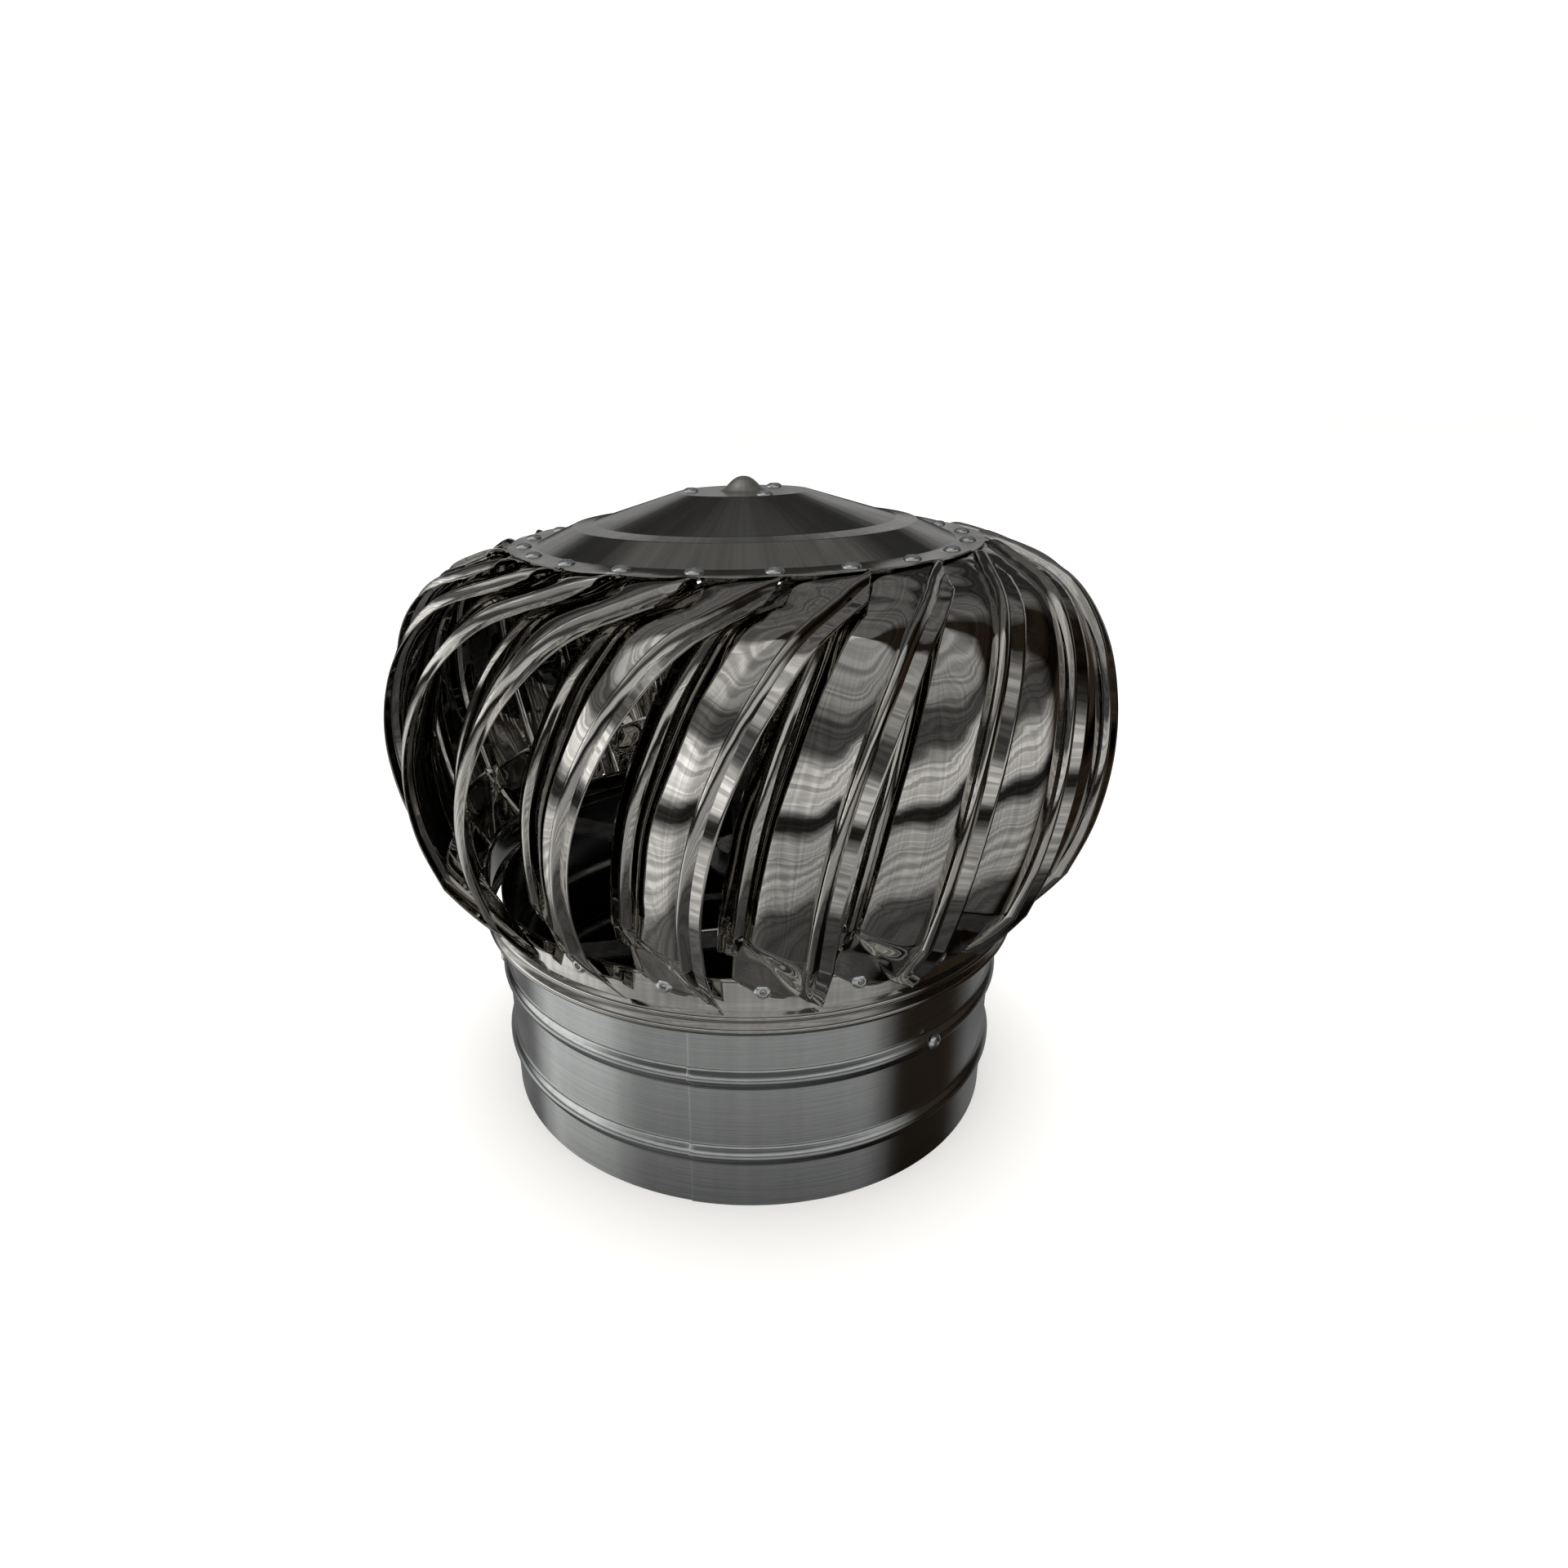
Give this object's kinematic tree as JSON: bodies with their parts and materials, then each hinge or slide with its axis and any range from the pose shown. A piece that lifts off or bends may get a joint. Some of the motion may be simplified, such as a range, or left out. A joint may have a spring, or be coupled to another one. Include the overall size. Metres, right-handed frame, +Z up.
{
  "type": "roof turbine ventilator",
  "caption": "Wind-driven roof ventilator: twisted polished vanes between a cap and a ring spin on a fixed shaft over a round duct neck.",
  "frame": {"origin": "centre of the neck's bottom edge", "axes": "+Z up along the axis that the turbine turns about, -Y the front"},
  "size_m": [0.4025, 0.4027, 0.3594],
  "materials": {
    "vane_stainless": "mirror polished stainless sheet",
    "ring_stainless": "mirror polished stainless sheet",
    "cap_stainless": "satin stainless sheet with faint streaks from the centre",
    "neck_stainless": "satin stainless sheet, brushed round the tube",
    "rivet_aluminium": "blind rivet heads, bright",
    "bearing_steel": "ground bearing steel",
    "zinc_plated_steel": "zinc plated steel",
    "shaft_steel": "turned steel"
  },
  "bodies": {
    "base": {"throat_neck": "neck_stainless", "throat_rivets": "rivet_aluminium", "throat_bracket": "zinc_plated_steel", "centre_shaft": "shaft_steel", "shaft_lock_nut_lower": "shaft_steel", "shaft_lock_nut_upper": "shaft_steel", "shaft_top_nut": "shaft_steel", "shaft_retaining_ring": "shaft_steel", "upper_bearing_inner_race": "bearing_steel", "lower_bearing_inner_race": "bearing_steel"},
    "rotor": {"turbine_ring": "ring_stainless", "top_cap": "cap_stainless", "cap_rim_rivets": "rivet_aluminium", "upper_bearing_cup": "zinc_plated_steel", "bearing_cup_rivets": "rivet_aluminium", "upper_bearing_outer_race": "bearing_steel", "lower_bearing_outer_race": "bearing_steel", "lower_bearing_cup": "zinc_plated_steel", "rotor_bracket": "zinc_plated_steel", "ring_rivets": "rivet_aluminium", "vane_01": "vane_stainless", "vane_02": "vane_stainless", "vane_03": "vane_stainless", "vane_04": "vane_stainless", "vane_05": "vane_stainless", "vane_06": "vane_stainless", "vane_07": "vane_stainless", "vane_08": "vane_stainless", "vane_09": "vane_stainless", "vane_10": "vane_stainless", "vane_11": "vane_stainless", "vane_12": "vane_stainless", "vane_13": "vane_stainless", "vane_14": "vane_stainless", "vane_15": "vane_stainless", "vane_16": "vane_stainless", "vane_17": "vane_stainless", "vane_18": "vane_stainless", "vane_19": "vane_stainless", "vane_20": "vane_stainless", "vane_21": "vane_stainless"}
  },
  "joints": [
    {"name": "rotor_spin", "type": "hinge", "parent": "base", "child": "rotor", "pos_m": [0, 0, 0.2], "axis": [0, 0, 1], "continuous": true}
  ]
}
